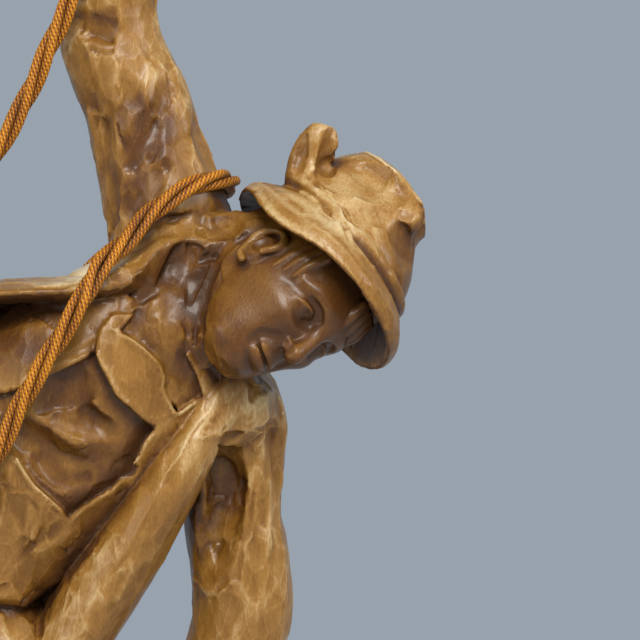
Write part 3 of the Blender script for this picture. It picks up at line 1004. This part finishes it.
# The skull is a loft that swells by sums of exp(-(up / tall) squared - (across / broad) squared); the features
# are eggs and thin limbs set on it, each rounded into it by its own softness.
def carveHead(block):
    axes = (nearEar, faceOut, headUp)

    def swell(across, out, up):
        rise = 0
        for height, apart, high, tall, broad in head["swells"]:
            for side in ((1, -1) if apart else (1,)):
                rise = rise + high * np.exp(-((up - height) / tall) ** 2 - ((across - side * apart) / broad) ** 2)
        return rise * ramp(0, 8, out)

    block.add(*block.loft(head["at"], axes, head["rows"], swell=swell), 2)

    def form(points, soft, cut=False):
        line = [(*facePoint(a, up, high - r), r) for a, up, high, r in points]
        (block.cut if cut else block.add)(*block.limb(line, headSide, spacing=0.9, margin=3), soft)

    def thread(points, soft):
        line = [(*headPoint(*p[:3]), p[3]) for p in points]
        block.add(*block.limb(line, headSide, spacing=1, margin=3), soft)

    apart, up, high, sizes = head["sockets"]
    for side in (1, -1):
        block.cut(*block.egg(facePoint(side * apart, up, high), axes, sizes), 2.5)
    for side in (1, -1):
        form([(side * a, u, h, r) for a, u, h, r in head["brow"]], 2.0)
    form(head["nose"], 2.2)
    across, up, high, sizes = head["tip"]
    block.add(*block.egg(facePoint(across, up, high - sizes[1]), axes, sizes), 1.2)
    for side in (1, -1):
        across, up, high, sizes = head["wing"]
        block.add(*block.egg(facePoint(side * across, up, high - sizes[1]), axes, sizes), 0.9)
    for side in (1, -1):
        across, up, high, sizes = head["nostril"]
        block.cut(*block.egg(facePoint(side * across, up, high - sizes[1]), axes, sizes), 0.5)
        apart, up, radius, pupil = head["eyes"]
        ball = facePoint(side * apart, up, -0.5) - faceOut * radius
        block.add(*block.egg(ball, axes, [radius] * 3), 0.2)
        for thick, stand, arc in head["lids"]:
            line = []
            for a, u in arc:
                away = math.hypot(a - apart, u - up)
                out = math.sqrt(max(radius ** 2 - away ** 2, 1.0)) + stand - thick * 0.6
                line.append((*(ball + nearEar * side * (a - apart) + headUp * (u - up) + faceOut * out), thick))
            block.add(*block.limb(line, headSide, spacing=0.8, margin=3), 0.35)
        middle = ball + faceOut * (radius + 0.45) + headUp * 0.1
        block.cut(*block.egg(middle, axes, (pupil, 0.8, pupil)), 0.3)
    form(head["upperLip"], 1.0)
    form(head["lowerLip"], 1.0)
    form([(a, up, high + 0.2, 0.5) for a, up, high in head["mouth"]], 0.25, True)
    form([(a, up, high - 0.4, 0.45) for a, up, high in head["mouth"]], 0.25, True)
    for radius, depth, line in head["furrows"]:
        for side in (1, -1):
            furrow(block, [facePoint(side * a, u) for a, u in line], radius, depth)
    for side in (1, -1):
        (a, f, u), sizes = head["ear"]
        block.add(*block.egg(headPoint(a * side, f, u), axes, sizes), 0.8)
        thread([(side * a, f, u, r) for a, f, u, r in head["earRim"]], 0.4)
        (a, f, u), sizes = head["earHollow"]
        block.cut(*block.egg(headPoint(a * side, f, u), axes, sizes), 0.4)
    for middle, sizes in head["hair"]:
        block.add(*block.egg(headPoint(*middle), axes, sizes), 2.5)
    for lock in head["locks"]:
        thread(lock, 0.5)


# The felt hat in its own measures: front, near side and up from the middle of the brim.
hat = {
    "at": (95, -11, 271.5), "brimLong": 35.6, "brimWide": 31.6, "inner": 0.7, "rise": 9,
    "droops": [(4.8, 1.48, 0.47), (2.5, 5.15, 0.6)], "brimThick": 3.5,  # drop, angle round the brim, breadth
    "crown": [
        (4, -1, 0, 25.4, 21), (9, -1.2, 0.2, 26, 21.6), (15, -1.5, 0.5, 25.4, 21.4), (24, -4, 2, 21, 19.4),
        (30, -5.5, 3, 17.5, 16), (33, -5, 3, 16.4, 12.6), (34.6, -5, 3, 13, 8.4), (35.2, -5, 3, 4, 2.5),
    ],
    "band": (26.4, 22.2, 10.6, 2.1, 2.5), "bandGroove": (29.1, 24.9, 8.5, 0.9, 0.9),
    "rims": [  # the crown's top on both sides of its crease: front, near, up, radius
        [(13, 8, 28.5, 5), (4, 11.5, 31, 5.5), (-8, 11.5, 31.5, 5.5), (-18, 6, 29, 5)],
        [(6, -2, 32, 4.5), (1, -4, 35, 4.5), (-7, -6, 34.5, 5), (-16, -4, 31, 5)],
    ],
    "crease": [(20, 2.5, 36, 2.5), (8, 2.8, 37.4, 4), (-8, 2, 37.6, 4.4), (-20, 1, 37, 3)],
    "tuft": [  # radius, height, softness, line across and up
        (6, 3.4, 2.0, [(91.5, 300), (95, 298), (99.6, 294.4)]),
        (1.5, 1.0, 0.3, [(93, 303.4), (96.4, 301.6), (100.6, 297.2)]),
        (1.7, 1.2, 0.3, [(91.4, 301.2), (95, 299.2), (100.2, 294.4)]),
        (1.7, 1.2, 0.3, [(90, 298.6), (93.4, 296.6), (98.8, 291.6)]),
        (1.4, 1.0, 0.3, [(89.6, 295.8), (92.6, 294), (97, 289.4)]),
    ],
    "feather": [(90.2, -13, 296, 4.4, 3.2), (91.8, -14, 301, 5.8, 3.4), (94.2, -14, 307, 6.7, 3.3),
                (96.2, -14.5, 312, 5.4, 2.8), (97, -14.5, 314.4, 4.2, 2.2)],
    "gouge": [  # radius, depth, line across and up
        (6.5, 3.0, [(105.6, 303.4), (108.4, 302.4), (112.4, 300.4), (116, 297.6), (118.6, 295)]),
        (16, 1.2, [(101.1, 299.7), (105.9, 297.9), (110.7, 294.9), (114.9, 292.5)]),
        (7, 1.5, [(121.5, 299), (122.7, 294.9), (121.5, 290.7)]),
        (12, 1.0, [(108, 288.3), (114.3, 288.3), (119.5, 289.5)]),
        (12, 1.2, [(115.5, 284.4), (119.5, 279.7), (121.6, 274.9)]),
        (3.6, 1.5, [(99.2, 312.9), (98.4, 308.9), (97.3, 305.3), (96.8, 302.9)]),
        (3.0, 1.0, [(91.4, 311.9), (90.4, 306.7), (89.1, 301.1)]),
    ],
    "leaf": [  # height and radius, line across and up
        (1.5, 1.1, [(100.2, 289.4), (101, 286), (103, 280.6)]),
        (1.5, 1.0, [(102, 288.6), (103.4, 285), (105.2, 280)]),
        (1.4, 0.9, [(104, 287.4), (105.6, 284), (107, 280.4)]),
    ],
}


# The hat's middle + front, near and up along its own three ways.
def hatPoint(front, near, up):
    return np.array(hat["at"]) + hatFront * front + hatNear * near + hatUp * up


# An oval ring in the hat's measures, closed on itself, with its thickness in the last columns.
def hatRing(long, wide, up, thick, tall):
    angle = np.linspace(0, 2 * math.pi, 49)[:, None]
    places = hatPoint(-1.2, 0.2, up) + np.cos(angle) * long * hatFront + np.sin(angle) * wide * hatNear
    return np.hstack((places, np.full((49, 1), tall), np.full((49, 1), thick)))


# The brim is a sheet rise * (1 - out) - droop(angle) * out ** 1.3, given its thickness and cut off at its oval; the
# crown is a loft with rims, a crease between them and a band.
def carveHat(block):
    middle, reach = hatPoint(0, 0, 8), 56
    where, x, y, z = block.part(middle - reach, middle + reach)
    x, y, z = [c - a for c, a in zip((x, y, z), hat["at"])]
    f, s, u = [x * a[0] + y * a[1] + z * a[2] for a in (hatFront, hatNear, hatUp)]
    angle = np.arctan2(s / hat["brimWide"], f / hat["brimLong"]) % (2 * math.pi)
    ring = np.sqrt((f / hat["brimLong"]) ** 2 + (s / hat["brimWide"]) ** 2)
    out = np.clip((ring - hat["inner"]) / (1 - hat["inner"]), -0.6, 1.3)
    droop = sum(drop * np.exp(-((angle - middle) / breadth) ** 2) for drop, middle, breadth in hat["droops"])
    sheet = hat["rise"] + (0.3 - hat["rise"]) * out - droop * np.clip(out, 0, 1.2) ** 1.3
    away = np.abs(block.evened(u - sheet)) - hat["brimThick"] / 2
    brim = -smoothLow(-away, -(ring - 1) * 33, 1.6)
    block.add(where, block.evened(brim), 0.5)
    block.add(*block.loft(hat["at"], (hatFront, hatNear, hatUp), hat["crown"]), 1.0)

    def bar(points):
        return block.limb([(*hatPoint(*p[:3]), p[3]) for p in points], spacing=2, margin=6)

    for rim in hat["rims"]:
        block.add(*bar(rim), 4)
    block.cut(*bar(hat["crease"]), 3)
    block.add(*block.limb(hatRing(*hat["band"]), hatUp, spacing=2.5, margin=4), 0.5)
    block.cut(*block.limb(hatRing(*hat["bandGroove"]), hatUp, spacing=2.5, margin=3), 0.5)
    block.add(*block.limb(hat["feather"], (0.95, 0, -0.3), cap=1.6, spacing=2, margin=6), 1)
    for radius, height, soft, line in hat["tuft"]:
        block.ridge(line, radius, height, soft)
    for radius, height, line in hat["leaf"]:
        block.ridge(line, radius, height, 0.3)
    for radius, depth, line in hat["gouge"]:
        block.gouge(line, radius, depth)


# Lays a skin through the block: one point in each cube that the surface passes through, at the mean of
# its edge crossings, and one four-sided face across each edge of the grid that changes sign.
def skinOf(block):
    d = block.depth
    inside = d < 0
    cells = [n - 1 for n in d.shape]
    count = np.zeros(cells, np.uint8)
    corners = [(i, j, k) for i in (0, 1) for j in (0, 1) for k in (0, 1)]
    for i, j, k in corners:
        count += inside[i:i + cells[0], j:j + cells[1], k:k + cells[2]]
    cell = np.argwhere((count > 0) & (count < 8)).astype(np.int32)
    number = np.full(cells, -1, np.int32)
    number[tuple(cell.T)] = np.arange(len(cell))
    values = np.stack([d[tuple((cell + c).T)] for c in corners], axis=1)
    total = np.zeros((len(cell), 3), np.float32)
    crossings = np.zeros(len(cell), np.float32)
    for a, ca in enumerate(corners):
        for b, cb in enumerate(corners):
            if b <= a or sum(abs(p - q) for p, q in zip(ca, cb)) != 1:
                continue
            hit = (values[:, a] < 0) != (values[:, b] < 0)
            t = np.where(hit, values[:, a] / np.where(hit, values[:, a] - values[:, b], 1), 0)[:, None]
            total += hit[:, None] * (np.array(ca) * (1 - t) + np.array(cb) * t)
            crossings += hit
    points = block.low + block.step * (cell + total / crossings[:, None])
    faces = []
    for axis in range(3):
        one, two = [k for k in range(3) if k != axis]
        middle = [slice(1, -1)] * 3
        middle[axis] = slice(0, cells[axis])
        beyond = list(middle)
        beyond[axis] = slice(1, cells[axis] + 1)
        here, there = inside[tuple(middle)], inside[tuple(beyond)]
        place = np.argwhere(here != there) + [0 if k == axis else 1 for k in range(3)]
        leaving = inside[tuple(place.T)]
        around = []
        for p, q in ((0, 0), (1, 0), (1, 1), (0, 1)):
            step = np.zeros(3, int)
            step[one], step[two] = -p, -q
            around.append(number[tuple((place + step).T)])
        face = np.stack(around, axis=1)
        flip = leaving if axis == 1 else ~leaving
        face[flip] = face[flip][:, ::-1]
        faces.append(face)
    return points, np.vstack(faces)


# How far points lie inside a block's own box, less a margin of 1.5, below zero outside it.
def depthInside(block, points):
    return np.minimum(points - block.low, block.top() - points).min(axis=1) - 1.5


# 1 on the front between the hem and the raised sleeve, 0 elsewhere.
def inFront(points):
    x, y, z = points.T
    return ramp(-20, -8, x) * ramp(176, 186, z) * ramp(340, 328, z) * ramp(24, 10, y)


# Cuts each triangle whose corners are all marked into four, and one with two marked corners into two, through
# the middles of the edges between marked corners, so that no gap opens. Quads are first cut in two.
def splitFaces(points, faces, marked):
    faces = np.vstack((faces[:, [0, 1, 2]], faces[:, [0, 2, 3]]))
    following = np.roll(faces, -1, axis=1)
    low, high = np.minimum(faces, following), np.maximum(faces, following)
    edges, number = np.unique(low.astype(np.int64) * len(points) + high, return_inverse=True)
    a, b = edges // len(points), edges % len(points)
    cut = marked[a] & marked[b]
    place = np.where(cut, len(points) + np.cumsum(cut) - 1, -1)
    points = np.vstack((points, (points[a[cut]] + points[b[cut]]) / 2))
    middle = place[number].reshape(-1, 3)
    many = (middle >= 0).sum(axis=1)
    done = [faces[many == 0]]
    f, m = faces[many == 3], middle[many == 3]
    for k in range(3):
        done.append(np.stack((f[:, k], m[:, k], m[:, k - 1]), axis=1))
    done.append(m)
    for k in range(3):
        one = (many == 1) & (middle[:, k] >= 0)
        f, m = faces[one], middle[one, k]
        done.append(np.stack((f[:, k], m, f[:, (k + 2) % 3]), axis=1))
        done.append(np.stack((m, f[:, (k + 1) % 3], f[:, (k + 2) % 3]), axis=1))
    return points, np.vstack(done)


# Scattered numbers from 0 to 1 for whole cells of space, always the same for the same cell.
def scatter(cell, seed):
    h = (cell[..., 0] * 73856093) ^ (cell[..., 1] * 19349663) ^ (cell[..., 2] * 83492791) ^ (seed * 2654435)
    h = (h ^ (h >> 13)) * 1274126177 & 0x7FFFFFFF
    h = (h ^ (h >> 16)) * 69069 & 0x7FFFFFFF
    return (h & 0xFFFFF) / 0xFFFFF


# Shallow hollows: space holds one scattered point in each cell, and the value over a place is the squared
# distance to the nearest of them.
def dimpled(points, size, seed):
    p = points / size
    base = np.floor(p).astype(np.int64)
    best = np.full(len(p), 9.0)
    for i in (-1, 0, 1):
        for j in (-1, 0, 1):
            for k in (-1, 0, 1):
                cell = base + (i, j, k)
                near = np.stack([scatter(cell, seed + n) for n in range(3)], axis=-1) * 0.8 + 0.1 + cell
                best = np.minimum(best, np.sum((p - near) ** 2, axis=1))
    return np.minimum(best, 1)


# Flat cuts: one scattered point in each cell of space is moved onto the wood and holds the flat that touches the
# wood there. A place rises or sinks to the flat of the nearest such point, mixed with the next ones by
# exp(-sharp * (distance squared - least distance squared)). Where the wood turns away from that flat or the move
# would pass a limit, at folds and edges, the place stays as it is. Also gives 1 where two flats meet, 0 on them.
def flatCuts(block, points, out, cut):
    size = np.array(cut["size"], float)
    low, high = points.min(axis=0), points.max(axis=0)
    count = np.ceil((high - low) / size).astype(int) + 2
    grid = np.stack(np.meshgrid(*[np.arange(n) for n in count], indexing="ij"), axis=-1).reshape(-1, 3)
    jitter = np.stack([scatter(grid, cut["seed"] + n) for n in range(3)], axis=-1) * 0.7 + 0.15
    seeds = low + (grid - 1 + jitter) * size
    for _ in range(5):
        seeds = seeds - block.outward(seeds, 1.2) * np.clip(block.at(seeds), -5, 5)[:, None]
    flats = block.outward(seeds, 2.5)
    seeds[np.abs(block.at(seeds)) > 0.7] += 1e4  # those that found no wood go out of reach
    seeds, flats = seeds.astype(np.float32), flats.astype(np.float32)
    offset, ridge = np.zeros((2, len(points)), np.float32)
    for first in range(0, len(points), 200000):
        some = slice(first, first + 200000)
        p, n = points[some].astype(np.float32), out[some].astype(np.float32)
        base = np.clip(np.floor((p - low) / size).astype(int) + 1, 1, count - 2)
        away, rise, facing = [], [], []
        for i in (-1, 0, 1):
            for j in (-1, 0, 1):
                for k in (-1, 0, 1):
                    at = ((base[:, 0] + i) * count[1] + base[:, 1] + j) * count[2] + base[:, 2] + k
                    gap, flat = seeds[at] - p, flats[at]
                    along = np.sum(flat * n, axis=1)
                    turned = np.maximum(0.7 - along, 0)
                    away.append(np.sum((gap / size.astype(np.float32)) ** 2, axis=1) + 3 * turned)
                    rise.append(np.sum(gap * flat, axis=1) / np.maximum(along, 0.5))
                    facing.append(along)
        away, rise = np.stack(away), np.clip(np.stack(rise), -9, 9)
        nearest = np.sort(np.partition(away, 1, axis=0)[:2], axis=0)
        share = np.exp(-cut["sharp"] * (away - nearest[0]))
        share = share / share.sum(axis=0)
        move = np.sum(share * rise, axis=0)
        kept = ramp(0.75, 0.93, np.sum(share * np.stack(facing), axis=0))
        kept = kept * ramp(1.5, 0.6, np.abs(move) / cut["limit"]) * (nearest[0] < 2)
        offset[some] = move * kept
        ridge[some] = ramp(0.16, 0, nearest[1] - nearest[0]) * kept
    return offset, ridge


# Flats of the carver's chisel: bold on cloth and rock, fewer on the hat and the fronts, none on the face.
marks = {
    "cloth": {"size": (9, 9, 16), "seed": 3, "sharp": 26, "limit": 1.0},
    "rock": {"size": (22, 22, 15), "seed": 11, "sharp": 26, "limit": 4.0},
    "fine": (4.5, 0.16),  # size and depth of the small hollows
    "low": (42, 34),  # up from where the cuts change from the cloth's to the rock's
    "calm": [  # middle, reach, share of the flats left
        ((90, -24, 256), 25, 0.0), ((97, -12, 280), 44, 0.4), ((34, -22, 224), 34, 0.5), ((46, -5, 410), 18, 0.2),
        ((26, 31, 115), 15, 0.2), ((84, -22, 280), 20, 0.3), ((54, -14, 268), 16, 0.4),
    ],
}


# How much of the tool marks shows: least of left + (1 - left) * ramp(distance) over the calm places.
def markShare(points):
    share = np.ones(len(points))
    for middle, reach, left in marks["calm"]:
        away = np.linalg.norm(points - middle, axis=1)
        share = np.minimum(share, left + (1 - left) * ramp(reach * 0.8, reach * 1.2, away))
    return share


# How far the tool marks move each point out, and how much of a ridge it lies on.
def toolMarks(block, points, out):
    share = markShare(points)
    cloth, clothRidge = flatCuts(block, points, out, marks["cloth"])
    stone, stoneRidge = flatCuts(block, points, out, marks["rock"])
    low = ramp(*marks["low"], points[:, 2])
    size, depth = marks["fine"]
    rise = cloth * share * (1 - low) + stone * low + depth * (dimpled(points, size, 23) - 0.4) * (0.2 + 0.8 * share)
    return rise, clothRidge * share * (1 - low) + stoneRidge * low


# Removes triangles that hang on nothing else: every corner of theirs is used by two triangles at most.
def dropLoose(mesh):
    corners = np.empty(len(mesh.loops), np.int32)
    mesh.loops.foreach_get("vertex_index", corners)
    corners = corners.reshape(-1, 3)
    loose = np.nonzero((np.bincount(corners.ravel())[corners] <= 2).all(axis=1))[0]
    form = bmesh.new()
    form.from_mesh(mesh)
    form.faces.ensure_lookup_table()
    bmesh.ops.delete(form, geom=[form.faces[i] for i in loose], context="FACES")
    form.to_mesh(mesh)
    form.free()
    print("loose triangles removed:", len(loose))


# Blocks out the body in coarse cubes, then halves them for the rest, and once more for the head and hat. The vest
# is the trunk alone, from which the plates over the waistcoat grow.
def carveWood(line):
    coarse = figure["coarse"]
    block = Block(figure["low"], figure["high"], coarse)
    carveRock(block)
    for leg in (figure["rightLeg"], figure["leftLeg"]):
        carveBoot(block, leg)
    carveBody(block)
    vest = block.patch(chest["low"], chest["high"])
    vest.add(*vest.limb(figure["trunk"], figure["hipSide"], figure["chestSide"]))
    print("body blocked out")
    block, vest = block.refined(), vest.refined()
    carveNeck(block)
    carveChest(block, vest)
    fine = block.patch(figure["fineLow"], figure["fineHigh"], True).refined()
    groove = np.hstack((line[::4], np.full((len(line[::4]), 1), rope["diameter"] / 2 + figure["ropeGap"])))
    for one in (block, fine):
        carveHead(one)
        for radius, height, stroke in cuts["ridge"]:
            one.ridge(stroke, radius, height)
        for radius, depth, stroke in cuts["gouge"]:
            one.gouge(stroke, radius, depth)
        carveHat(one)
        one.cut(*one.limb(groove, (0, 1, 0), spacing=4, margin=3), 0.5)
    where, *_ = block.part(fine.low, fine.top())
    block.depth[where] = fine.depth[::2, ::2, ::2]
    carveFist(block, figure["rightFist"])
    carveFist(block, figure["leftFist"])
    print("head, hat and hands carved")
    return block, fine


# Lays the skin, moves it by the tool marks along its way out, and thins it least at the head and the front.
def carveFigure(line):
    block, fine = carveWood(line)
    points, faces = skinOf(block)
    points, faces = splitFaces(points, faces, depthInside(fine, points) > 0)
    share = ramp(0, 2, depthInside(fine, points))
    for _ in range(3):
        away = np.clip(fine.at(points), -0.4, 0.4) * share
        points = points - fine.outward(points, 0.4) * away[:, None]
    out = unit(block.outward(points) * (1 - share)[:, None] + fine.outward(points, 0.6) * share[:, None])
    rise, ridge = toolMarks(block, points, out)
    points = points + out * rise[:, None]
    low, high = [np.array(corner) / mm for corner in cadBox]
    points = np.clip(points, low + 0.05, high - 0.05)  # nothing reaches past the solid's box
    piece = makePiece("carvedFigure", points, faces)
    worn = piece.data.attributes.new("ridge", "FLOAT", "POINT")
    worn.data.foreach_set("value", ridge.astype(np.float32))
    print("skin laid,", len(faces), "triangles")
    keep = piece.vertex_groups.new(name="plain")
    plain = 1 - figure["headKept"] * ramp(0, 3, depthInside(fine, points))
    plain = plain - figure["frontKept"] * inFront(points) * (1 - share)
    for level in range(11):
        chosen = np.nonzero(np.round(plain * 10) == level)[0]
        keep.add(chosen.tolist(), max(level / 10, 0.02), "REPLACE")
    thin = piece.modifiers.new("thin", "DECIMATE")
    thin.ratio = min(1, figure["triangles"] / len(faces))
    thin.vertex_group = keep.name
    thin.vertex_group_factor = figure["plainFactor"]
    bpy.context.view_layer.update()
    ready = bpy.data.meshes.new_from_object(piece.evaluated_get(bpy.context.evaluated_depsgraph_get()))
    piece.modifiers.clear()
    piece.data = ready
    dropLoose(ready)
    ready.polygons.foreach_set("use_smooth", np.ones(len(ready.polygons), bool))
    piece.vertex_groups.clear()
    writeSurface(block, ready)
    ready.materials.clear()
    ready.materials.append(woodFinish().material)
    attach(piece, "root")
    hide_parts("carved_figure")
    print("figure done,", len(ready.polygons), "triangles")


# Writes what the stain and the wear follow: how enclosed a place is, how sharp an edge, how much it faces up.
def writeSurface(block, mesh):
    points = np.empty(len(mesh.vertices) * 3, np.float32)
    mesh.vertices.foreach_get("co", points)
    points = points.reshape(-1, 3) / mm
    ridge = np.empty(len(points), np.float32)
    mesh.attributes["ridge"].data.foreach_get("value", ridge)
    mesh.attributes.remove(mesh.attributes["ridge"])
    out = block.outward(points, 1.2)
    hollow = sum(np.clip((t - block.at(points + out * t)) / t, 0, 1) * w for t, w in wood["hollows"])
    hollow = np.minimum(hollow, wood["deepest"])
    thin = wood["edge"]
    edge = np.clip((thin + block.at(points - out * thin)) / thin, 0, 1)
    edge = np.clip(edge + ridge * 0.3, 0, 1)
    stain = np.zeros(len(points))
    for middle, reach, change in wood["stains"]:
        stain += change * ramp(reach * 1.25, reach * 0.6, np.linalg.norm(points - middle, axis=1))
    height, outer, inner, darker = wood["pupil"]
    for side in (1, -1):
        pupil = facePoint(side * head["eyes"][0], head["eyes"][1], height)
        stain -= darker * ramp(outer, inner, np.linalg.norm(points - pupil, axis=1))
    lift = out[:, 2] * 0.5 + 0.5
    cut = np.maximum(markShare(points), 0.08)
    for name, values in (("hollow", hollow), ("edge", edge), ("lift", lift), ("stain", stain), ("cut", cut)):
        layer = mesh.attributes.new(name, "FLOAT", "POINT")
        layer.data.foreach_set("value", np.ascontiguousarray(values, np.float32))


# Waxed linden wood: dark stain in the hollows, honey on the sides, paler and greyer on top, worn edges.
wood = {
    "hollows": [(2, 0.5), (5, 0.35), (10, 0.15)], "deepest": 0.7,  # how far out each looks, and its share
    "edge": 1.6, "pupil": (-0.9, 2.1, 0.9, 0.5),  # height over the face, outer and inner reach, darker by
    "base": 0.28, "lift": 0.44, "hollow": 0.95, "sharp": 0.34, "worn": 0.07, "grain": 0.36, "cloud": 0.20,
    "grainSize": 1500, "cloudSize": 60, "facetSize": 170, "facetDepth": 0.0012,
    "rough": 0.37, "coat": 0.15, "coatRough": 0.2,
    "stops": [
        (0.0, (0.056, 0.021, 0.005)), (0.2, (0.090, 0.032, 0.005)), (0.42, (0.165, 0.070, 0.009)),
        (0.62, (0.265, 0.128, 0.026)), (0.82, (0.43, 0.285, 0.122)), (1.0, (0.57, 0.46, 0.28)),
    ],
    "stains": [  # middle, reach, darker or lighter
        ((84, -24, 258), 28, -0.24), ((70, -12, 226), 24, 0.15), ((43, -14, 299), 12, -0.20),
        ((45, -14, 316), 11, -0.28), ((44, 0, 390), 18, -0.06), ((8, -14, 257), 20, -0.36),
        ((12, -10, 250), 15, -0.22), ((66, -2, 204), 12, -0.15), ((18, -14, 268), 19, 0.24),
        ((104, -26, 298), 24, 0.12), ((118, -16, 274), 14, -0.14), ((58, -14, 267), 14, -0.16),
    ],
}


# Tone runs along the ramp of colours: base + lift + stain - hollow + edge + worn rims + grain + clouds.
def woodFinish():
    paint = Finish("waxedWood")
    grainy = paint.noise(paint.place((1, 1, 0.4)), wood["grainSize"], 3, 0.7)
    cloudy = paint.noise(paint.place((1, 1, 0.6)), wood["cloudSize"], 3, 0.55)
    hollow, edge, lift, stain, cut = [paint.attribute(name) for name in ("hollow", "edge", "lift", "stain", "cut")]
    bent = paint.place((1, 1, 0.5), (0.12, 0.3, 0.2))
    facet = paint.cells(bent, wood["facetSize"], "F1")
    rim = paint.cells(bent, wood["facetSize"], "DISTANCE_TO_EDGE")
    worn = (1 - rim * 14).held() * cut
    tone = lift * wood["lift"] + wood["base"] + stain - hollow * wood["hollow"] + edge * wood["sharp"]
    tone = tone + worn * wood["worn"] + (grainy - 0.5) * wood["grain"] + (cloudy - 0.5) * wood["cloud"]
    colour = paint.node("ShaderNodeValToRGB", {"stops": wood["stops"]}, {"Fac": tone.held()})
    height = facet * facet * cut * 0.9 + grainy * 0.12
    bump = paint.node("ShaderNodeBump", sockets={"Height": height, "Strength": 0.9, "Distance": wood["facetDepth"]})
    rough = (wood["rough"] + (grainy - 0.5) * 0.3 + hollow * 0.25).held()
    paint.shade({
        "Base Color": colour, "Roughness": rough, "Specular IOR Level": 0.26, "Normal": bump,
        "Coat Weight": wood["coat"], "Coat Roughness": wood["coatRough"],
    })
    return paint


placeCamera()
ropeLine = layRope()
lightStudio()
carveFigure(ropeLine)
